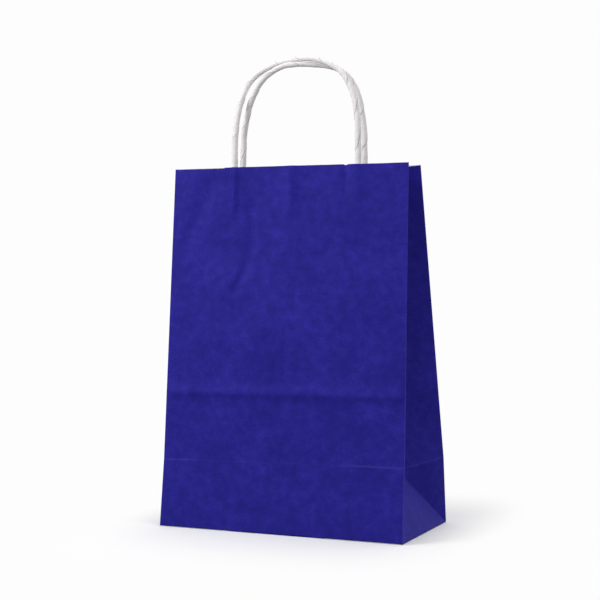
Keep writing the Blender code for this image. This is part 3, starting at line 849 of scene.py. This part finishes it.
# %% Sizes and routes of the cords
HANDLE_SPACING = 114 * MM
HANDLE_RISE = 91.5 * MM  # of the front cord over the mouth
REAR_DROP = 4.5 * MM  # the rear cord stands this much lower
FRONT_OFFSET, REAR_OFFSET = 5 * MM, 2 * MM  # the handles stand this far right of the middle
CROWN_DIAMETER = 4.6 * MM  # pulled thinner than at the legs
CORD_GRIP = 36 * MM  # length of each leg that is glued in below the mouth
GAP = 0.3 * MM  # for glue, between cord and paper
LEG_INWARD = 2 * PAPER + 2 * GAP + CORD_DIAMETER / 2

FRONT_ROUTE = [
    (-1.01, 0.10, 0.30), (-1.00, 0.26, 0.50), (-0.965, 0.42, 0.65),
    (-0.90, 0.62, 0.79), (-0.77, 0.71, 0.888), (-0.56, 0.74, 0.957),
    (-0.30, 0.69, 0.998), (0.05, 0.50, 1.013), (0.30, 0.35, 0.988),
    (0.50, 0.28, 0.94), (0.68, 0.24, 0.87), (0.81, 0.19, 0.77),
    (0.90, 0.13, 0.65), (0.965, 0.06, 0.50), (0.995, 0.01, 0.33),
]
REAR_ROUTE = [
    (-0.98, 0.05, 0.28), (-0.92, 0.18, 0.47), (-0.80, 0.36, 0.665),
    (-0.66, 0.48, 0.812), (-0.49, 0.60, 0.913), (-0.26, 0.65, 0.989),
    (-0.03, 0.57, 1.014), (0.20, 0.44, 1.009), (0.42, 0.33, 0.994),
    (0.60, 0.26, 0.96), (0.74, 0.22, 0.895), (0.85, 0.16, 0.80),
    (0.92, 0.11, 0.68), (0.965, 0.05, 0.52), (0.995, 0.01, 0.33),
]
print("points of the routes:", len(FRONT_ROUTE), "and", len(REAR_ROUTE))


# %% Places on a panel, and smooth lines
def panel_lean(side):
    """Unit vectors up a panel's upper part, and square to it into the bag."""
    low, high = [panel_place(side, 0.5, share * SHEET_HEIGHT) for share in (0.7, 1)]
    upward = Vector(high - low)
    upward.x = 0
    upward.normalize()
    return upward, side * Vector((1, 0, 0)).cross(upward)


def on_panel(side, from_middle, below_mouth, inward):
    """A place by its distances from the middle of a panel's mouth."""
    upward, into_bag = panel_lean(side)
    middle = Vector(panel_place(side, 0.5, SHEET_HEIGHT))
    return middle + Vector((from_middle, 0, 0)) - upward * below_mouth + into_bag * inward


def smooth_line(places, steps):
    """A smooth curve through places; at each it runs parallel to the line between its neighbours."""
    ends = [2 * places[0] - places[1], *places, 2 * places[-1] - places[-2]]
    line = [places[0]]
    for before, start, end, after in zip(ends, ends[1:], ends[2:], ends[3:]):
        leave, arrive = start + (end - before) / 6, end - (after - start) / 6
        line += interpolate_bezier(start, leave, arrive, end, steps + 1)[1:]
    return line


lean = math.degrees(panel_lean(FRONT)[0].angle((0, 0, 1)))
print(f"the front panel leans back by {lean:.1f} degrees")


# %% The two cords
def cord_line(side, offset, rise, route):
    """The middle line of a cord: up from its grip, along its route, and down again."""
    half = HANDLE_SPACING / 2
    line = [on_panel(side, offset - half, CORD_GRIP * share, LEG_INWARD) for share in (1, 0.5, 0)]
    middle = on_panel(side, offset, 0, LEG_INWARD)
    across_bag = on_panel(-side, 0, 0, LEG_INWARD).y - middle.y
    line += [middle + Vector((across * half, over * across_bag, up * rise)) for across, over, up in route]
    line += [on_panel(side, offset + half, CORD_GRIP * share, LEG_INWARD) for share in (0, 0.5, 1)]
    return smooth_line(line, 6)


def make_cord(name, side, offset, rise, route, node):
    """Sweeps the strip along a cord's line, thinner towards the crown, and puts it on the frame."""
    line = cord_line(side, offset, rise, route)
    crown = max(point.z for point in line)
    mouth = panel_place(side, 0.5, SHEET_HEIGHT)[2]
    curve = bpy.data.curves.new(name, "CURVE")
    curve.dimensions = "3D"
    spline = curve.splines.new("POLY")
    spline.points.add(len(line) - 1)
    for place, point in zip(spline.points, line):
        place.co = (*point, 1)
        share = min(max((point.z - mouth) / (crown - mouth), 0.0), 1.0)
        place.radius = 1 - (1 - CROWN_DIAMETER / CORD_DIAMETER) * share**4
    made = new_object(name, curve)
    twist = made.modifiers.new("twist", "NODES")
    twist.node_group = cord_tree
    sizes = {
        "Radius": CORD_DIAMETER / 2 * (1 + LAP_STEP / 2),
        "Turn": TWIST,
        "Step": LAP_STEP,
        "Spacing": 0.8 * MM,
        "Paper": cord_paper,
    }
    for socket in cord_tree.interface.items_tree:
        if socket.item_type == "SOCKET" and socket.in_out == "INPUT" and socket.name in sizes:
            twist[socket.identifier] = sizes[socket.name]
    mesh = evaluated_mesh(made)
    bpy.data.objects.remove(made)
    mesh.name = name
    cord = new_object(name, mesh)
    length = sum((b - a).length for a, b in zip(line, line[1:]))
    print(f"{name}: {length / MM:.0f} mm of cord, {len(mesh.polygons)} faces")
    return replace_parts(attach(cord, "root"), node)


front_cord = make_cord("front_cord", FRONT, FRONT_OFFSET, HANDLE_RISE, FRONT_ROUTE, "front_handle")
rear_cord = make_cord("rear_cord", BACK, REAR_OFFSET, HANDLE_RISE - REAR_DROP, REAR_ROUTE, "rear_handle")

# %% [markdown]
# ## The glued patches
# Each cord's legs are held between two leaves of white paper, glued together and to the inside of the
# panel. The inner leaf is pressed over the cord, so it swells there and closes again below the cord's end.
# The leaves follow the bent panel, whose heights are read off at each of their points.

# %% Patches
PATCH_HEIGHT = 45 * MM
PATCH_MARGIN = 18 * MM  # paper beside each leg
PATCH_SETBACK = 1 * MM  # below the mouth's edge
PATCH_COLUMNS, PATCH_ROWS = 150, 44
GLUE = 1.3 * GAP  # between the panel and the wall leaf
LEAVES = 1.2 * PAPER  # from leaf to leaf where they are glued
CRUMPLE, CRUMPLE_SIZE = 0.2 * MM, 7 * MM


def sheet_heights(side, across, below):
    """How far the bent sheet stands out of its flat panel at places from the mouth's middle."""
    wall = "front" if side == FRONT else "back"
    lines = height[:, on[wall]]
    out = []
    for drop in below:
        line = [np.interp(SHEET_HEIGHT - drop, rows, column) for column in lines.T]
        aside = (across + MOUTH_SHIFT_X * drop / SHEET_HEIGHT) / (PANEL_WIDTH / 2 - SIDE_LEAN_IN)
        out.append(np.interp(PANEL_WIDTH / 2 * (1 - side * aside), ring[on[wall]], line))
    return np.array(out)


def make_patch(name, side, offset, node):
    """Two leaves on a panel's inside, the inner one pressed over both legs of the cord."""
    legs = [offset - HANDLE_SPACING / 2, offset + HANDLE_SPACING / 2]
    across = np.linspace(legs[0] - PATCH_MARGIN, legs[1] + PATCH_MARGIN, PATCH_COLUMNS + 1)
    below = np.linspace(0, PATCH_HEIGHT, PATCH_ROWS + 1)
    outward = sheet_heights(side, across, below + PATCH_SETBACK)
    channel = CORD_DIAMETER / 2 + GAP
    over_leg = sum(np.exp(-((np.abs(across - leg) / (2.0 * channel)) ** 4)) for leg in legs)
    closes = 1 - smooth(CORD_GRIP - 1 * MM, PATCH_HEIGHT - 2 * MM, below)
    vertices, faces = [], []
    for leaf in ("wall", "bag"):
        for j, i in np.ndindex(PATCH_ROWS + 1, PATCH_COLUMNS + 1):
            inward = PAPER + GLUE - outward[j, i]
            if leaf == "bag":
                press = over_leg[i] * closes[j]
                crumple = noise.noise(Vector((across[i], below[j], side)) / CRUMPLE_SIZE) * CRUMPLE
                inward += LEAVES + max(crumple * min(1, below[j] / (4 * MM)), 0)
                inward += press * (CORD_DIAMETER + 2 * GAP + PAPER + outward[j, i])
            vertices.append(on_panel(side, across[i], below[j] + PATCH_SETBACK, inward))
    row = PATCH_COLUMNS + 1
    for leaf, j, i in np.ndindex(2, PATCH_ROWS, PATCH_COLUMNS):
        here = (leaf * (PATCH_ROWS + 1) + j) * row + i
        corners = (here, here + 1, here + row + 1, here + row)
        faces.append(corners if side == FRONT else corners[::-1])
    made = mesh_object(name, vertices, faces, [white_kraft])
    thicken(made, PAPER, offset=1)
    print(f"{name}: {len(made.data.polygons)} faces")
    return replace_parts(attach(made, "root"), node)


front_patch = make_patch("front_patch", FRONT, FRONT_OFFSET, "front_handle_patch")
rear_patch = make_patch("rear_patch", BACK, REAR_OFFSET, "rear_handle_patch")

# %% Put the paper pieces on the frame
for made in [sheet, *flaps]:
    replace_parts(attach(made, "root"), "bag_body")
print("pieces of the folded sheet:", 1 + len(flaps))

# %% [markdown]
# ## Floor, light and camera
# The photo is a catalogue shot on white paper that runs up behind the bag. The light comes from all round:
# a plain white room, a lamp near the upper left that rakes across the front panel, a weak one on the
# right for the gusset, and one above and behind, which catches the tucked triangle and lays the shadow in
# front of the bag. The floor's colour is darker for the light that it throws back up than for the camera.
# Near the bag it keeps its own shading, so the soft shadow stays. Further out the camera and reflections
# see it as plain white, as they see the world, so no horizon shows.

# %% Floor
WHITE = 0.982
FOOT = (0.100, 0.057, 0)  # the corner of the area where the floor keeps its own shading
FAR = 0.18  # metres from there, where it has turned into plain white
FASTER_ASIDE = (2.5, 1, 1)  # beside the bag the way to plain white is shorter
WHITE_AT_FOOT = 0.08  # share of plain white that is there from the start


def seen_directly(tree):
    """1 for rays from the camera and for reflections, and 0 for all others."""
    rays = add_node(tree, "ShaderNodeLightPath").outputs
    either = {0: rays["Is Camera Ray"], 1: rays["Is Glossy Ray"]}
    return add_node(tree, "ShaderNodeMath", {"operation": "MAXIMUM"}, either)


floor_paper, tree, shader = start_material(
    "matt white floor paper", **{"Roughness": 0.9, "Specular IOR Level": 0.1}
)
rays = add_node(tree, "ShaderNodeLightPath").outputs
paper_colour = add_node(
    tree,
    "ShaderNodeMix",
    {"data_type": "RGBA"},
    {"Factor": rays["Is Camera Ray"], 6: srgb("#A8A8A8"), 7: srgb("#F4F4F4")},
)
feed(tree, shader, {"Base Color": paper_colour.outputs[2]})
spot = add_node(tree, "ShaderNodeTexCoord").outputs["Object"]
beside = add_node(tree, "ShaderNodeVectorMath", {"operation": "ABSOLUTE"}, {"Vector": spot})
for operation, value in (("SUBTRACT", FOOT), ("MAXIMUM", (0, 0, 0)), ("MULTIPLY", FASTER_ASIDE)):
    pair = {0: beside, 1: value}
    beside = add_node(tree, "ShaderNodeVectorMath", {"operation": operation}, pair)
away = add_node(tree, "ShaderNodeVectorMath", {"operation": "LENGTH"}, {0: beside})
plain = add_node(
    tree,
    "ShaderNodeMapRange",
    {"interpolation_type": "SMOOTHSTEP"},
    {"Value": away.outputs["Value"], "From Min": 0.0, "From Max": FAR, "To Min": WHITE_AT_FOOT},
)
shares = {0: plain, 1: seen_directly(tree)}
share = add_node(tree, "ShaderNodeMath", {"operation": "MULTIPLY"}, shares)
glow = add_node(tree, "ShaderNodeEmission", inputs={"Strength": WHITE})
mixed = add_node(tree, "ShaderNodeMixShader", inputs={0: share, 1: shader, 2: glow})
feed(tree, tree.nodes["Material Output"], {"Surface": mixed})
corners = [(-4, -4, 0), (4, -4, 0), (4, 4, 0), (-4, 4, 0)]
floor = mesh_object("floor", corners, [(0, 1, 2, 3)], [floor_paper])
print("floor:", floor_paper.name)

# %% World
AMBIENT = 0.50

world = bpy.data.worlds.new("white studio")
bpy.context.scene.world = world
world.use_nodes = True
tree = world.node_tree
tree.nodes.clear()
white = add_node(tree, "ShaderNodeBackground", inputs={"Color": (1, 1, 1, 1), "Strength": WHITE})
ambient = add_node(tree, "ShaderNodeBackground", inputs={"Color": (1, 1, 1, 1), "Strength": AMBIENT})
mixed = add_node(tree, "ShaderNodeMixShader", inputs={0: seen_directly(tree), 1: ambient, 2: white})
add_node(tree, "ShaderNodeOutputWorld", inputs={"Surface": mixed})
print("white of the floor and the world:", WHITE)


# %% Lamps
def lamp(name, place, target, size, power):
    """A square lamp at a place, turned to its target; size in metres and power in watts."""
    data = bpy.data.lights.new(name, "AREA")
    data.shape = "SQUARE"
    data.size = size
    data.energy = power
    made = new_object(name, data)
    made.location = place
    made.rotation_euler = (Vector(target) - Vector(place)).to_track_quat("-Z", "Y").to_euler()
    return made


lamps = [
    lamp("lamp at the upper left", (-0.72, -0.66, 0.85), (-0.03, 0, 0.22), 0.5, 8.2),
    lamp("weak lamp on the right", (1.3, -0.7, 1.2), (0, 0, 0.15), 1.0, 6.0),
    lamp("lamp above and behind", (0.15, 0.5, 1.95), (0, 0, 0.1), 1.5, 11.5),
]
print("lamps:", [made.name for made in lamps])

# %% Camera
PICTURE = 600  # the photo's width in pixels
FOCAL = 1466.8  # focal length in those pixels
SENSOR = 36  # millimetres
AZIMUTH, ELEVATION = math.radians(23.26), math.radians(1.37)
DISTANCE = 1257.3 * MM
AIM_RIGHT, AIM_UP = -3.37 * MM, 192.96 * MM  # from the frame's origin to the point it looks at

level = math.cos(ELEVATION)
back_way = Vector((math.sin(AZIMUTH) * level, -math.cos(AZIMUTH) * level, math.sin(ELEVATION)))
right_way = Vector((math.cos(AZIMUTH), math.sin(AZIMUTH), 0))
up_way = back_way.cross(right_way)
eye = right_way * AIM_RIGHT + Vector((0, 0, AIM_UP)) + back_way * DISTANCE
data = bpy.data.cameras.new("photo camera")
data.sensor_width = SENSOR
data.lens = SENSOR * FOCAL / PICTURE
camera = new_object("photo camera", data)
camera.matrix_world = Matrix.Translation(eye) @ Matrix((right_way, up_way, back_way)).transposed().to_4x4()
bpy.context.scene.camera = camera
bpy.context.scene.view_settings.view_transform = "Standard"
print("lens:", round(data.lens, 1), "mm")
